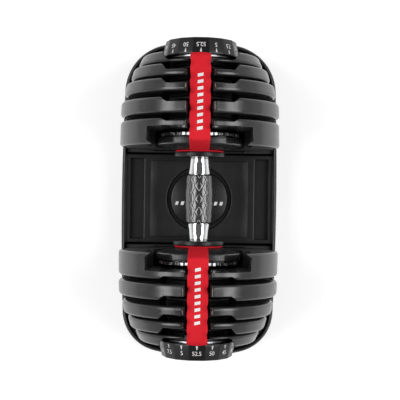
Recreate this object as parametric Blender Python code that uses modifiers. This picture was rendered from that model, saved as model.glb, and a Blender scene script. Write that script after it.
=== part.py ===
"""Adjustable dumbbell with two selector dials, lying in its storage base.

Metres, +Z up.  The origin is the middle of the footprint on the resting plane and the
handle runs along Y.  The back (+Y) and front (-Y) ends are the same assembly turned half
a turn about Z, so each end is modelled once in its own frame: local X across, local Y up
and local Z outward along the handle, from the middle of the grip to the dial.
"""

from math import asin, atan2, cos, pi, radians, sin, sqrt

import bmesh
import bpy
from mathutils import Matrix

# Driving dimensions -------------------------------------------------------------------
AXIS_Z = 0.126  # handle axis above the resting plane
GAP = 0.0003  # clearance kept between touching pieces
OVERCUT = 0.001  # how far a cutter reaches past the face it opens
REACH = 0.010  # how far a cutter stands out past the outside of a shape
RUNNING = 0.0004  # clearance of a turning or sliding fit

# Plates, per end: number, pounds, radius, inner face, web's outer face, outer face, chamfer
PLATES = (
    (5, 7.5, 0.1016, 0.0650, 0.0928, 0.0964, 0.005),
    (4, 7.5, 0.1011, 0.1016, 0.1158, 0.1215, 0.005),
    (3, 5.0, 0.0966, 0.1279, 0.1384, 0.1448, 0.005),
    (2, 2.5, 0.0891, 0.1477, 0.1553, 0.1634, 0.006),
    (1, 1.25, 0.0799, 0.1654, 0.1685, 0.1800, 0.006),
)
PLATE_FLAT = 0.030  # half-width of the flat that a plate stands on
PLATE_STEPS = 22  # sides of a plate's rim
NOTCH = 0.017  # half-width of the slot for the hub and the bridge
RECESS = 0.0432  # half-width of the recess for the selector disc
GUARD_POCKET = 0.064  # half-width of plate 5's pocket for the guard, above the axis
GUARD_POCKET_LOW = 0.057  # the pocket's radius below the axis
GUARD_POCKET_END = 0.0865  # bottom of that pocket
COVER_WALL = 0.0024  # plastic over the steel core
CORE_RIM = 0.0015  # from the rim's chamfer in to the core
CORE_SLOT = 0.0460  # half-width of the core's slot, outside the selector recess
STEEL = 7850.0  # kg/m3
POUND = 0.45359  # kg
TAB_LOW = 0.0345  # outer radius of a plate's lifting tab
TAB_HIGH = 0.0270  # its inner radius
TAB_HALF = 0.0060  # its half-width
TAB_LENGTH = 0.0045  # how far it reaches past its web

# Selector: 15 settings, 24 degrees apart
SETTINGS = (5, 7.5, 10, 12.5, 15, 17.5, 20, 22.5, 25, 30, 35, 40, 45, 50, 52.5)
BARE_HANDLE = 5.0  # pounds without plates
SECTOR = 2 * pi / len(SETTINGS)
DISC_R = 0.0400
DISC_WALL = 0.0040  # radial thickness of the lifting wall
DISC_WEB = 0.0025
DISC_GAP = 0.0005  # from a plate's web to its disc
HUB_R = 0.0140
SHAFT_R = 0.0060
BORE_R = SHAFT_R + RUNNING
WHEEL = (0.0787, 0.0826)  # index wheel, along the axis
WHEEL_R = 0.0500
WHEEL_NOTCHES = 30
WHEEL_TOOTH = 0.0030
HUB_START = 0.0660  # inner end of the innermost disc's hub

# Dial and its fixings
DIAL = (0.1810, 0.2000)
DIAL_R_WIDE = 0.0490
DIAL_R_FACE = 0.0450
DIAL_WALL = 0.0035
DIAL_SIDES = len(SETTINGS)
CAP_R = 0.0200
NUT = (0.1900, 0.1960)
NUT_R = 0.0095
SHAFT_END = 0.1950
END_PLATE = (0.1768, 0.1800)
END_PLATE_R = 0.0415
END_PLATE_BORE = 0.0160
EAR_HALF = 0.0110
EAR_TOP = 0.0580

# Handle
CORE_R = 0.0125
CORE_END = 0.0652
BARREL_R = 0.0141
BARREL_INNER = 0.0317
GRIP_HALF = 0.0308
GRIP_R_END = 0.0157
GRIP_R_MID = 0.0173
COLLAR = (0.0530, 0.0590)
COLLAR_R = 0.0320
FLANGE = (0.0595, 0.0613)
FLANGE_R = 0.0304
GUARD = (0.0618, 0.0770)
GUARD_R = 0.0540
GUARD_RIM = 0.0680  # where the guard's dish meets its rim
GUARD_WALL = 0.0030
BRIDGE_HALF = 0.0125
BRIDGE_WALL = 0.0025
BRIDGE_DEPTH = 0.0090
BRIDGE_TOP = ((0.0660, 0.1030), (0.1720, 0.0880))  # (along, up) at its two ends
BRIDGE_END = 0.1765

# Lock pin, sprung down, pushed up by the base's release post
PIN_HALF = 0.0040
PIN_W = (0.0543, 0.0577)
PIN_BOTTOM = -0.0340
PIN_TOP = -0.0200
SLOT_TOP = -0.0140
SPRING_R = 0.0012
SPRING_WIRE = 0.00035
SPRING_TURNS = 3

# Base
TRAY_HALF_X = 0.1055
TRAY_HALF_Y = 0.2145
SIDE_BOW_R = 3.750
CORNER_R = 0.052
END_BOW_R = 0.246
TRAY_BOTTOM = 0.0020
TRAY_RIM = 0.0450
TRAY_WALL = 0.0045
DECK_Z = 0.0410
DECK_HALF_Y = 0.0600
DECK_CLEAR = 0.0005  # the deck's cut stays this far inside the wall
WELL_FLOOR = 0.0050
PANEL_HALF_X = 0.0686
PANEL_HALF_Y = 0.0520
PANEL_LOW = 0.0320
BADGE_R = 0.0384
BADGE_RECESS_R = 0.0445
BADGE_RECESS_Z = 0.0295
BIN_X = (0.0748, 0.0944)
BIN_HALF_Y = 0.0548
BIN_FLOOR = 0.0330
UNDER_TOP = 0.0260  # ceiling of the hollow under the deck
POST_HALF = 0.0070
POST_W = (0.0545, 0.0575)
FOOT_Y = (0.140, 0.156)
FOOT_HALF_X = 0.070
FOOT_TOP = 0.0037
CRADLE_BOTTOM = 0.0060
CRADLE_DECK = 0.0380
CRADLE_SADDLE = 0.0580
CRADLE_HALF = 0.0620
CRADLE_UNDER = 0.0240
SEAT_GAP = 0.0005

COLOURS = {  # base colour, roughness, metallic
    "cover": ((0.018, 0.018, 0.020), 0.45, 0.0),
    "steel_core": ((0.035, 0.035, 0.038), 0.55, 0.6),
    "bright_steel": ((0.62, 0.62, 0.64), 0.30, 1.0),
    "zinc": ((0.50, 0.51, 0.53), 0.40, 1.0),
    "chrome": ((0.72, 0.73, 0.75), 0.10, 1.0),
    "grip": ((0.045, 0.045, 0.050), 0.35, 0.0),
    "red": ((0.60, 0.02, 0.03), 0.35, 0.0),
    "black": ((0.012, 0.012, 0.013), 0.40, 0.0),
    "disc": ((0.10, 0.10, 0.11), 0.50, 0.0),
    "base": ((0.022, 0.022, 0.024), 0.50, 0.0),
    "rubber": ((0.010, 0.010, 0.010), 0.80, 0.0),
}


# Scene and materials ------------------------------------------------------------------
def clear_scene():
    for old in list(bpy.data.objects):
        bpy.data.objects.remove(old, do_unlink=True)


def collection(name):
    found = bpy.data.collections.new(name)
    bpy.context.scene.collection.children.link(found)
    return found


def paint(obj, colour):
    """Give the object a material of its own."""
    base, roughness, metallic = COLOURS[colour]
    material = bpy.data.materials.new(obj.name)
    material.use_nodes = True
    shader = material.node_tree.nodes["Principled BSDF"]
    shader.inputs["Base Color"].default_value = (*base, 1)
    shader.inputs["Roughness"].default_value = roughness
    shader.inputs["Metallic"].default_value = metallic
    obj.data.materials.clear()
    obj.data.materials.append(material)


def frame_empty(name, turn):
    """An end's frame on the handle axis: local Z outward, local Y up."""
    empty = bpy.data.objects.new(name, None)
    empty.location = (0, 0, AXIS_Z)
    empty.rotation_euler = (pi / 2, 0, turn)
    bpy.context.scene.collection.objects.link(empty)
    return empty


# Shape builders -----------------------------------------------------------------------
def place(name, mesh, parent):
    obj = bpy.data.objects.new(name, mesh)
    CUTTERS.objects.link(obj)
    obj.parent = parent
    obj.hide_render = True
    obj.display_type = "WIRE"
    return obj


def piece(obj, colour):
    """Turn a built shape into a named part of the dumbbell."""
    CUTTERS.objects.unlink(obj)
    PARTS.objects.link(obj)
    obj.hide_render = False
    obj.display_type = "TEXTURED"
    obj.data.shade_smooth()
    obj.data.set_sharp_from_angle(angle=radians(30))
    paint(obj, colour)
    return obj


def prism(name, outlines, low, high, parent=None, across=False):
    """Flat outlines made solid from low to high along local Z, or across local X."""
    curve = bpy.data.curves.new(name, "CURVE")
    curve.dimensions = "2D"
    curve.fill_mode = "BOTH"
    curve.extrude = (high - low) / 2
    for points in outlines:
        spline = curve.splines.new("POLY")
        spline.points.add(len(points) - 1)
        for spot, (x, y) in zip(spline.points, points):
            spot.co = (x, y, 0, 1)
        spline.use_cyclic_u = True
    drawn = bpy.data.objects.new(name, curve)
    bpy.context.scene.collection.objects.link(drawn)
    solved = bpy.context.evaluated_depsgraph_get()
    mesh = bpy.data.meshes.new_from_object(drawn.evaluated_get(solved))
    bpy.data.objects.remove(drawn)
    bpy.data.curves.remove(curve)
    shape = bmesh.new()
    shape.from_mesh(mesh)
    bmesh.ops.remove_doubles(shape, verts=shape.verts, dist=1e-6)
    bmesh.ops.recalc_face_normals(shape, faces=shape.faces)
    shape.to_mesh(mesh)
    shape.free()
    mesh.transform(Matrix.Translation((0, 0, (low + high) / 2)))
    if across:
        mesh.transform(Matrix.Rotation(-pi / 2, 4, "Y"))
    return place(name, mesh, parent)


def turned(name, profile, steps, parent=None, ring=True):
    """A profile of (radius, along) points, outer side first and downward, spun round Z."""
    mesh = bpy.data.meshes.new(name)
    edges = [(n, n + 1) for n in range(len(profile) - 1)]
    if ring:
        edges.append((len(profile) - 1, 0))
    mesh.from_pydata([(r, 0, along) for r, along in profile], edges, [])
    obj = place(name, mesh, parent)
    screw = obj.modifiers.new("Screw", "SCREW")
    screw.angle = 2 * pi
    screw.steps = steps
    screw.render_steps = steps
    screw.use_merge_vertices = True
    screw.merge_threshold = 1e-5
    screw.use_smooth_shade = True
    return obj


def box(name, low, high, parent=None):
    mesh = bpy.data.meshes.new(name)
    shape = bmesh.new()
    bmesh.ops.create_cube(shape, size=1)
    size = [b - a for a, b in zip(low, high)]
    middle = [(a + b) / 2 for a, b in zip(low, high)]
    bmesh.ops.scale(shape, vec=size, verts=shape.verts)
    bmesh.ops.translate(shape, vec=middle, verts=shape.verts)
    shape.to_mesh(mesh)
    shape.free()
    return place(name, mesh, parent)


def combine(target, other, operation="DIFFERENCE"):
    change = target.modifiers.new(operation.title(), "BOOLEAN")
    change.operation = operation
    change.object = other
    return target


# Outlines -----------------------------------------------------------------------------
def arc(radius, start, end, steps, centre=(0, 0)):
    """Points on a circle; angles run clockwise from straight up."""
    turns = [start + (end - start) * n / steps for n in range(steps + 1)]
    return [(centre[0] + radius * sin(a), centre[1] + radius * cos(a)) for a in turns]


def plate_outline(radius, notch, flat, steps=9):
    """A disc with a round-bottomed slot from above and a flat below."""
    top = asin(notch / radius)
    foot = pi - asin(flat / radius)
    right = arc(radius, top, foot, steps)
    left = arc(radius, -foot, -top, steps)
    slot = arc(notch, -pi / 2, -3 * pi / 2, 8)
    return right + left + slot


def slot_outline(half, top, low_half=None, steps=8):
    """A slot open upward, with straight sides down to the axis and a round bottom."""
    bottom = arc(low_half or half, -pi / 2, -3 * pi / 2, steps)
    if low_half:
        bottom = [(-half, 0)] + bottom + [(half, 0)]
    return [(-half, top)] + bottom + [(half, top)]


def rectangle(x0, x1, y0, y1):
    return [(x0, y0), (x1, y0), (x1, y1), (x0, y1)]


def area(points):
    """Shoelace area of an outline."""
    following = points[1:] + points[:1]
    return abs(sum(a[0] * b[1] - b[0] * a[1] for a, b in zip(points, following))) / 2


def tray_outline(inset=0.0, end_only=0.0):
    """The base's plan: bowed sides, round corners and a bowed end, one quarter mirrored.

    end_only keeps the outline beyond that distance from the middle, for the end wells.
    """
    side_centre = TRAY_HALF_X - SIDE_BOW_R
    end_centre = TRAY_HALF_Y - END_BOW_R
    corner_x = TRAY_HALF_X - CORNER_R
    for _ in range(20):
        corner_y = end_centre + sqrt((END_BOW_R - CORNER_R) ** 2 - corner_x**2)
        corner_x = side_centre + sqrt((SIDE_BOW_R - CORNER_R) ** 2 - corner_y**2)
    join_end = atan2(corner_x, corner_y - end_centre)
    join_side = pi / 2 - atan2(corner_y, corner_x - side_centre)
    centre = (corner_x, corner_y)
    quarter = arc(END_BOW_R - inset, 0, join_end, 3, (0, end_centre))
    quarter += arc(CORNER_R - inset, join_end, join_side, 7, centre)[1:]
    bow = pi / 2 - asin(end_only / (SIDE_BOW_R - inset))
    quarter += arc(SIDE_BOW_R - inset, join_side, bow, 2, (side_centre, 0))[1:]
    back_left = [(-x, y) for x, y in reversed(quarter)]
    if end_only:
        return back_left[:-1] + quarter
    front_right = [(x, -y) for x, y in reversed(quarter)]
    front_left = [(-x, -y) for x, y in quarter]
    return quarter + front_right[1:] + front_left[1:] + back_left[1:-1]


# Selector pattern ---------------------------------------------------------------------
def plates_used(setting):
    """Numbers of the plates that one end lifts at a setting, heaviest first."""
    left = (setting - BARE_HANDLE) / 2
    used = set()
    for plate in PLATES:
        if plate[1] <= left + 1e-9:
            used.add(plate[0])
            left -= plate[1]
    return used


def open_sectors(number):
    """Outlines of the gaps in the lifting wall, where a setting leaves the plate."""
    count = len(SETTINGS)
    free = [number not in plates_used(setting) for setting in SETTINGS]
    gaps = []
    for first in range(count):
        if not free[first] or free[first - 1]:
            continue
        run = 1
        while free[(first + run) % count]:
            run += 1
        start = pi + (count - 1 - first + 0.5) * SECTOR
        end = start - run * SECTOR
        inner = arc(DISC_R - DISC_WALL - OVERCUT, start, end, run)
        outer = arc(DISC_R + OVERCUT, end, start, run)
        gaps.append(inner + outer)
    return gaps


# Plates -------------------------------------------------------------------------------
def steel_blank(name, plate, grow, parent):
    """A plate's steel core, or with grow the pocket that it sits in."""
    _, pounds, radius, inner, _, outer, chamfer = plate
    core_r = radius - chamfer - CORE_RIM
    flat = PLATE_FLAT * 0.8
    needed = pounds * POUND / STEEL / area(plate_outline(core_r, CORE_SLOT, flat))
    depth = min(needed, outer - inner - COVER_WALL)
    front = inner - OVERCUT if grow else inner + GAP
    outline = plate_outline(core_r + grow, CORE_SLOT - grow, flat)
    return prism(name, [outline], front, inner + depth + grow, parent)


def build_plate(side, plate, parent):
    number, _, radius, inner, web, outer, chamfer = plate
    name = f"{side}_plate_{number}"
    foot = -sqrt(radius**2 - PLATE_FLAT**2)
    rim = [
        (0, outer),
        (radius - chamfer, outer),
        (radius, outer - chamfer),
        (radius, inner + chamfer),
        (radius - chamfer, inner),
        (0, inner),
    ]
    cover = turned(name + "_cover", rim, PLATE_STEPS, parent, ring=False)
    under = rectangle(-radius, radius, foot - 2 * REACH, foot)
    combine(cover, prism(name + "_foot", [under], inner - REACH, outer + REACH, parent))
    notch = slot_outline(NOTCH, radius + REACH)
    combine(cover, prism(name + "_notch", [notch], inner - REACH, outer + REACH, parent))
    recess = slot_outline(RECESS, radius + REACH)
    combine(cover, prism(name + "_recess", [recess], web, outer + REACH, parent))
    core = steel_blank(name + "_core", plate, 0.0, parent)
    if number == PLATES[0][0]:
        guard = slot_outline(GUARD_POCKET, radius + REACH, GUARD_POCKET_LOW)
        opening = prism(name + "_guard", [guard], inner - REACH, GUARD_POCKET_END, parent)
        combine(cover, opening)
        combine(core, opening)
    combine(cover, steel_blank(name + "_pocket", plate, GAP, parent))
    tab = rectangle(-TAB_HALF, TAB_HALF, -TAB_LOW, -TAB_HIGH)
    tab_solid = prism(name + "_tab", [tab], web - OVERCUT, web + TAB_LENGTH, parent)
    combine(cover, tab_solid, "UNION")
    piece(cover, "cover")
    piece(core, "steel_core")


# Selector, dial and shaft -------------------------------------------------------------
def build_discs(side, parent):
    ends = [plate[4] + DISC_GAP for plate in PLATES] + [DIAL[0]]
    limits = [plate[3] - DISC_GAP for plate in PLATES[1:]] + [END_PLATE[0] - 2 * GAP]
    for plate, start, following, limit in zip(PLATES, ends, ends[1:], limits):
        wall_r = DISC_R - DISC_WALL
        hub_start = HUB_START if plate is PLATES[0] else start
        hub_end = following - GAP
        profile = [
            (DISC_R, limit),
            (DISC_R, start),
            (wall_r, start),
            (wall_r, limit - DISC_WEB),
            (HUB_R, limit - DISC_WEB),
            (HUB_R, hub_start),
            (BORE_R, hub_start),
            (BORE_R, hub_end),
            (HUB_R, hub_end),
            (HUB_R, limit),
        ]
        name = f"{side}_selector_disc_{plate[0]}"
        disc = turned(name, profile, DIAL_SIDES, parent)
        gaps = open_sectors(plate[0])
        floor = limit - DISC_WEB + GAP
        combine(disc, prism(name + "_gaps", gaps, start - OVERCUT, floor, parent))
        piece(disc, "disc")


def build_index_wheel(side, parent):
    """The notched wheel, keyed on the innermost disc's long hub."""
    pitch = 2 * pi / WHEEL_NOTCHES
    rim = []
    for n in range(WHEEL_NOTCHES):
        rim += arc(WHEEL_R, n * pitch, n * pitch, 1)[:1]
        rim += arc(WHEEL_R - WHEEL_TOOTH, (n + 0.5) * pitch, 0, 1)[:1]
    hole = arc((HUB_R + GAP) / cos(SECTOR / 2), 0, 2 * pi - SECTOR, len(SETTINGS) - 1)
    piece(prism(f"{side}_index_wheel", [rim, hole], *WHEEL, parent), "bright_steel")


def build_dial(side, parent):
    low, face = DIAL
    inner_r = DIAL_R_WIDE - DIAL_WALL - 0.001
    floor = face - DIAL_WALL
    seat = NUT[0] - 2 * GAP
    nut_room = NUT_R + 0.0025
    hub = nut_room + 0.0035
    profile = [
        (DIAL_R_FACE - 0.0012, face),
        (DIAL_R_FACE, face - 0.001),
        (DIAL_R_WIDE, low + 0.003),
        (DIAL_R_WIDE - 0.0015, low),
        (inner_r, low),
        (DIAL_R_FACE - DIAL_WALL, floor),
        (hub, floor),
        (hub, low),
        (BORE_R, low),
        (BORE_R, seat),
        (nut_room, seat),
        (nut_room, face - 0.0025),
        (CAP_R + RUNNING, face - 0.0025),
        (CAP_R + RUNNING, face),
    ]
    piece(turned(f"{side}_dial", profile, DIAL_SIDES, parent), "black")
    cap = [
        (0, face),
        (CAP_R - 0.001, face),
        (CAP_R, face - 0.001),
        (CAP_R, face - 0.0025 + GAP),
        (0, face - 0.0025 + GAP),
    ]
    piece(turned(f"{side}_dial_cap", cap, DIAL_SIDES, parent, ring=False), "black")
    thread = (SHAFT_R + GAP) / cos(pi / 6)
    nut = [(NUT_R, NUT[1]), (NUT_R, NUT[0]), (thread, NUT[0]), (thread, NUT[1])]
    piece(turned(f"{side}_shaft_nut", nut, 6, parent), "zinc")


# Handle -------------------------------------------------------------------------------
def build_handle(parent):
    half = [
        (CORE_R, CORE_END),
        (CORE_R, COLLAR[0]),
        (BARREL_R, BARREL_INNER + 0.004),
        (BARREL_R, BARREL_INNER),
        (CORE_R, GRIP_HALF + GAP),
    ]
    outer = half + [(r, -along) for r, along in reversed(half)]
    bore = [(BORE_R, -CORE_END), (BORE_R, CORE_END)]
    piece(turned("handle_core", outer + bore, 16, parent), "chrome")
    heights = [GRIP_HALF * (1 - n / 2) for n in range(5)]
    swell = GRIP_R_MID - GRIP_R_END
    grip = [(GRIP_R_END + swell * cos(h / GRIP_HALF * pi / 2), h) for h in heights]
    grip += [(CORE_R + GAP, -GRIP_HALF), (CORE_R + GAP, GRIP_HALF)]
    piece(turned("grip_sleeve", grip, 16, parent), "grip")
    rod = [(0, SHAFT_END), (SHAFT_R, SHAFT_END), (SHAFT_R, -SHAFT_END), (0, -SHAFT_END)]
    piece(turned("centre_shaft", rod, 12, parent, ring=False), "bright_steel")


def build_collar(side, parent):
    bore = CORE_R + GAP
    ring = [(COLLAR_R, COLLAR[1]), (COLLAR_R, COLLAR[0]), (bore, COLLAR[0]), (bore, COLLAR[1])]
    collar = turned(f"{side}_collar", ring, 20, parent)
    low = (-PIN_HALF - GAP, -COLLAR_R - REACH, PIN_W[0] - GAP)
    high = (PIN_HALF + GAP, SLOT_TOP, PIN_W[1] + GAP)
    combine(collar, box(collar.name + "_slot", low, high, parent))
    piece(collar, "black")
    tip = PIN_BOTTOM + 0.002
    outline = [
        (-PIN_HALF, PIN_TOP),
        (-PIN_HALF, tip),
        (-PIN_HALF + 0.0015, PIN_BOTTOM),
        (PIN_HALF - 0.0015, PIN_BOTTOM),
        (PIN_HALF, tip),
        (PIN_HALF, PIN_TOP),
    ]
    piece(prism(f"{side}_lock_pin", [outline], *PIN_W, parent), "zinc")
    build_spring(side, parent)


def build_spring(side, parent):
    """A small compression coil between the lock pin and the top of its slot."""
    low = PIN_TOP + GAP + SPRING_WIRE
    high = SLOT_TOP - GAP - SPRING_WIRE
    middle = sum(PIN_W) / 2
    count = SPRING_TURNS * 6
    curve = bpy.data.curves.new(f"{side}_lock_spring", "CURVE")
    curve.dimensions = "3D"
    curve.bevel_depth = SPRING_WIRE
    curve.bevel_resolution = 1
    curve.use_fill_caps = True
    spline = curve.splines.new("POLY")
    spline.points.add(count)
    for n, spot in enumerate(spline.points):
        turn = 2 * pi * n / 6
        height = low + (high - low) * n / count
        spot.co = (SPRING_R * cos(turn), height, middle + SPRING_R * sin(turn), 1)
    obj = bpy.data.objects.new(curve.name, curve)
    obj.parent = parent
    PARTS.objects.link(obj)
    paint(obj, "bright_steel")


def build_guard(side, parent):
    bore = CORE_R + GAP
    wall = GUARD_WALL
    profile = [
        (GUARD_R, GUARD[1]),
        (GUARD_R, GUARD_RIM + 0.0015),
        (GUARD_R - 0.0015, GUARD_RIM),
        (FLANGE_R, GUARD[0]),
        (bore, GUARD[0]),
        (bore, GUARD[0] + wall),
        (FLANGE_R - 0.001, GUARD[0] + wall),
        (GUARD_R - wall, GUARD_RIM + wall),
        (GUARD_R - wall, GUARD[1]),
    ]
    piece(turned(f"{side}_guard", profile, 24, parent), "black")


def build_bridge(side, parent):
    """The red strap over the plates, with a flange on the handle and a leg at the dial."""
    (near, near_up), (far, far_up) = BRIDGE_TOP
    slope = (far_up - near_up) / (far - near)
    leg_w = FLANGE[0] + GAP
    thick = FLANGE[1] - FLANGE[0] - 2 * GAP
    last = BRIDGE_END - BRIDGE_WALL
    under = near_up - BRIDGE_DEPTH
    far_under = far_up - BRIDGE_DEPTH
    ear_overlap = END_PLATE_R + 0.002
    outline = [
        (near, near_up),
        (far, far_up),
        (BRIDGE_END, far_up - 0.004),
        (BRIDGE_END, ear_overlap),
        (last, ear_overlap),
        (last, far_under),
        (near + BRIDGE_WALL, under),
        (leg_w + thick, FLANGE_R),
        (leg_w + thick, FLANGE_R - 0.008),
        (leg_w, FLANGE_R - 0.008),
        (leg_w, FLANGE_R),
        (near - 0.0025, near_up - 0.004),
    ]
    bridge = prism(f"{side}_bridge", [outline], -BRIDGE_HALF, BRIDGE_HALF, parent, across=True)
    start = near + BRIDGE_WALL
    ceiling = near_up - BRIDGE_WALL
    channel = [
        (start, ceiling + slope * BRIDGE_WALL),
        (last, ceiling + slope * (last - near)),
        (last, far_under - 2 * REACH),
        (start, under - REACH),
    ]
    inner = BRIDGE_HALF - BRIDGE_WALL
    hollow = prism(bridge.name + "_hollow", [channel], -inner, inner, parent, across=True)
    combine(bridge, hollow)
    bore = CORE_R + GAP
    ring = [(FLANGE_R, FLANGE[1]), (FLANGE_R, FLANGE[0]), (bore, FLANGE[0]), (bore, FLANGE[1])]
    combine(bridge, turned(bridge.name + "_flange", ring, 20, parent), "UNION")
    piece(bridge, "red")


def build_end_plate(side, parent):
    """The support at the dial end, whose ear meets the bridge's outer leg."""
    shoulder = asin(EAR_HALF / END_PLATE_R)
    disc = arc(END_PLATE_R, shoulder, 2 * pi - shoulder, 20)
    outline = [(-EAR_HALF, EAR_TOP), (EAR_HALF, EAR_TOP)] + disc
    hole = arc(END_PLATE_BORE, 0, 2 * pi * 15 / 16, 15)
    piece(prism(f"{side}_end_plate", [outline, hole], *END_PLATE, parent), "zinc")


# Base ---------------------------------------------------------------------------------
def build_tray():
    tray = prism("base_tray", [tray_outline()], TRAY_BOTTOM, TRAY_RIM)
    half_x = TRAY_HALF_X - TRAY_WALL - DECK_CLEAR
    deck = rectangle(-half_x, half_x, -DECK_HALF_Y - OVERCUT, DECK_HALF_Y + OVERCUT)
    combine(tray, prism("deck_cut", [deck], DECK_Z, TRAY_RIM + REACH))
    for sign in (1, -1):
        well = [(x, sign * y) for x, y in tray_outline(TRAY_WALL, DECK_HALF_Y)]
        combine(tray, prism(f"well_{sign}", [well], WELL_FLOOR, TRAY_RIM + REACH))
    sag = DECK_Z - PANEL_LOW
    sweep_r = (PANEL_HALF_X**2 + sag**2) / (2 * sag)
    reach = asin(PANEL_HALF_X / sweep_r)
    dish = arc(sweep_r, pi + reach, pi - reach, 8, (0, PANEL_LOW + sweep_r))
    dish += [(PANEL_HALF_X, TRAY_RIM + REACH), (-PANEL_HALF_X, TRAY_RIM + REACH)]
    panel = prism("panel_cut", [dish], -PANEL_HALF_Y, PANEL_HALF_Y)
    panel.rotation_euler = (pi / 2, 0, 0)
    combine(tray, panel)
    seat = [(0, TRAY_RIM), (BADGE_RECESS_R, TRAY_RIM), (BADGE_RECESS_R, BADGE_RECESS_Z)]
    seat.append((0, BADGE_RECESS_Z))
    combine(tray, turned("badge_recess", seat, 24, ring=False))
    for sign in (1, -1):
        bin_cut = rectangle(sign * BIN_X[0], sign * BIN_X[1], -BIN_HALF_Y, BIN_HALF_Y)
        combine(tray, prism(f"bin_{sign}", [bin_cut], BIN_FLOOR, TRAY_RIM + REACH))
    under = (TRAY_HALF_X - 2 * TRAY_WALL, DECK_HALF_Y - TRAY_WALL)
    low = (-under[0], -under[1], -REACH)
    combine(tray, box("under_hollow", low, (*under, UNDER_TOP)))
    post_top = AXIS_Z + PIN_BOTTOM - GAP
    for sign in (1, -1):
        y0, y1 = sorted((sign * POST_W[0], sign * POST_W[1]))
        post = box(f"post_{sign}", (-POST_HALF, y0, DECK_Z - 0.003), (POST_HALF, y1, post_top))
        combine(tray, post, "UNION")
        y0, y1 = sorted((sign * (FOOT_Y[0] - GAP), sign * (FOOT_Y[1] + GAP)))
        half = FOOT_HALF_X + GAP
        groove = box(f"groove_{sign}", (-half, y0, -REACH), (half, y1, FOOT_TOP + GAP))
        combine(tray, groove)
    piece(tray, "base")
    badge = [
        (0, PANEL_LOW + 0.0008),
        (BADGE_R - 0.001, PANEL_LOW + 0.0008),
        (BADGE_R, PANEL_LOW),
        (BADGE_R, BADGE_RECESS_Z + GAP),
        (0, BADGE_RECESS_Z + GAP),
    ]
    piece(turned("base_medallion", badge, 24, ring=False), "base")


def build_foot(side, sign):
    y0, y1 = sorted((sign * FOOT_Y[0], sign * FOOT_Y[1]))
    radius = (FOOT_Y[1] - FOOT_Y[0]) / 2
    middle = (y0 + y1) / 2
    inset = FOOT_HALF_X - radius
    outline = arc(radius, 0, pi, 6, (inset, middle)) + arc(radius, pi, 2 * pi, 6, (-inset, middle))
    piece(prism(f"{side}_foot_strip", [outline], 0, FOOT_TOP), "rubber")


def build_cradle(side, sign, parent):
    """The insert that seats the plates, with a fin in each gap between them."""
    start = DECK_HALF_Y + TRAY_WALL / 2
    shape = [(x, sign * y) for x, y in tray_outline(TRAY_WALL + 0.0005, start)]
    cradle = prism(f"{side}_cradle", [shape], CRADLE_BOTTOM, CRADLE_SADDLE)
    for hand in (1, -1):
        x0, x1 = sorted((hand * CRADLE_HALF, hand * TRAY_HALF_X))
        y0, y1 = sorted((0, sign * TRAY_HALF_Y))
        shoulder = box(f"{side}_shoulder_{hand}", (x0, y0, CRADLE_DECK), (x1, y1, 0.1))
        combine(cradle, shoulder)
    last = PLATES[-1][5] + 0.003
    y0, y1 = sorted((sign * last, sign * TRAY_HALF_Y))
    half = CRADLE_HALF + OVERCUT
    combine(cradle, box(f"{side}_nose", (-half, y0, CRADLE_DECK), (half, y1, 0.1)))
    for number, _, radius, inner, _, outer, _ in PLATES:
        radius += SEAT_GAP
        foot = pi - asin(PLATE_FLAT / radius)
        slot = arc(radius, pi / 2, foot, 8) + arc(radius, -foot, -pi / 2, 8)
        slot = [(x, y - SEAT_GAP) for x, y in slot]
        name = f"{side}_seat_{number}"
        combine(cradle, prism(name, [slot], inner - SEAT_GAP, outer + SEAT_GAP, parent))
    hollow = (CRADLE_HALF - TRAY_WALL, PLATES[-1][5] - 0.003)
    y0, y1 = sorted((sign * (start + TRAY_WALL), sign * hollow[1]))
    low = (-hollow[0], y0, 0)
    combine(cradle, box(f"{side}_cradle_under", low, (hollow[0], y1, CRADLE_UNDER)))
    piece(cradle, "base")


# Assembly -----------------------------------------------------------------------------
clear_scene()
PARTS = collection("adjustable_dumbbell")
CUTTERS = collection("cutters")

ENDS = (
    ("back", 1, frame_empty("back_end", pi)),
    ("front", -1, frame_empty("front_end", 0)),
)

build_tray()
build_handle(ENDS[0][2])
for end_name, direction, end_frame in ENDS:
    build_foot(end_name, direction)
    build_cradle(end_name, direction, end_frame)
    build_collar(end_name, end_frame)
    build_guard(end_name, end_frame)
    build_bridge(end_name, end_frame)
    build_end_plate(end_name, end_frame)
    build_index_wheel(end_name, end_frame)
    build_discs(end_name, end_frame)
    build_dial(end_name, end_frame)
    for plate_row in PLATES:
        build_plate(end_name, plate_row, end_frame)
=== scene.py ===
"""The looks of the adjustable dumbbell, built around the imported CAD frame.

Shapes are worked out in millimetres and carried to the frame's metres when a piece is
placed.  Each end of the dumbbell is modelled in its own axes, as in the CAD: x across,
y up from the handle's axis, z outward along it, from the middle of the grip to the dial.
"""

from math import asin, atan2, cos, exp, floor, hypot, pi, radians, sin, sqrt, tan

import bmesh
import bpy
from mathutils import Matrix, Vector


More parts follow.
